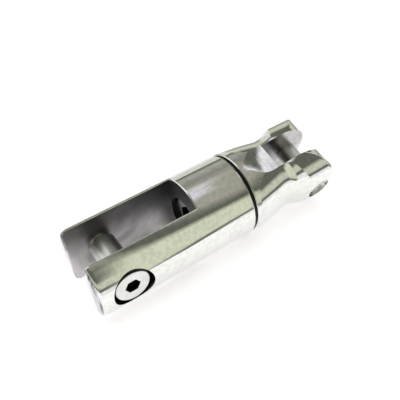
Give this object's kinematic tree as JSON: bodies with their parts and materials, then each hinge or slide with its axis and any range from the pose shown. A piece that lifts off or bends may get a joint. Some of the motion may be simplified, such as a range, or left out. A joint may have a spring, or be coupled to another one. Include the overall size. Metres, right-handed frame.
{
  "type": "anchor swivel",
  "caption": "Stainless swivel joining an anchor to its chain: a slotted round jaw and a forked head turn on a shared bolt, each with a screw pin across its slot.",
  "frame": {"origin": "centre of the anchor pin, on the swivel axis", "axes": "+X along the swivel axis from the anchor to the chain, Y along the anchor pin with its head at -Y, +Z out of the jaw's slot; the fork is stored turned 16.5 degrees about +X"},
  "size_m": [0.1023, 0.032, 0.032],
  "materials": {
    "polished_steel": "mirror-polished stainless steel",
    "satin_steel": "turned stainless steel, satin",
    "bush_bronze": "turned bearing bronze",
    "black_polymer": "black acetal, smooth",
    "black_rubber": "black nitrile rubber, matt"
  },
  "bodies": {
    "jaw": {"anchor_jaw": "polished_steel", "swivel_bush": "bush_bronze", "seam_washer": "black_polymer", "grease_seal": "black_rubber"},
    "fork": {"chain_fork": "polished_steel", "swivel_bolt": "satin_steel", "head_washer": "black_polymer", "bolt_lock_screw": "satin_steel"},
    "anchor_pin": {"anchor_pin": "satin_steel"},
    "chain_pin": {"chain_pin": "satin_steel"}
  },
  "joints": [
    {"name": "swivel", "type": "hinge", "parent": "jaw", "child": "fork", "pos_m": [0.05035, 0, 0], "axis": [1, 0, 0], "continuous": true},
    {"name": "anchor_pin_draw", "type": "slide", "parent": "jaw", "child": "anchor_pin", "axis": [0, -1, 0], "range_m": [0, 0.032]},
    {"name": "chain_pin_draw", "type": "slide", "parent": "fork", "child": "chain_pin", "axis": [0, 0.9588, 0.284], "range_m": [0, 0.031]}
  ]
}
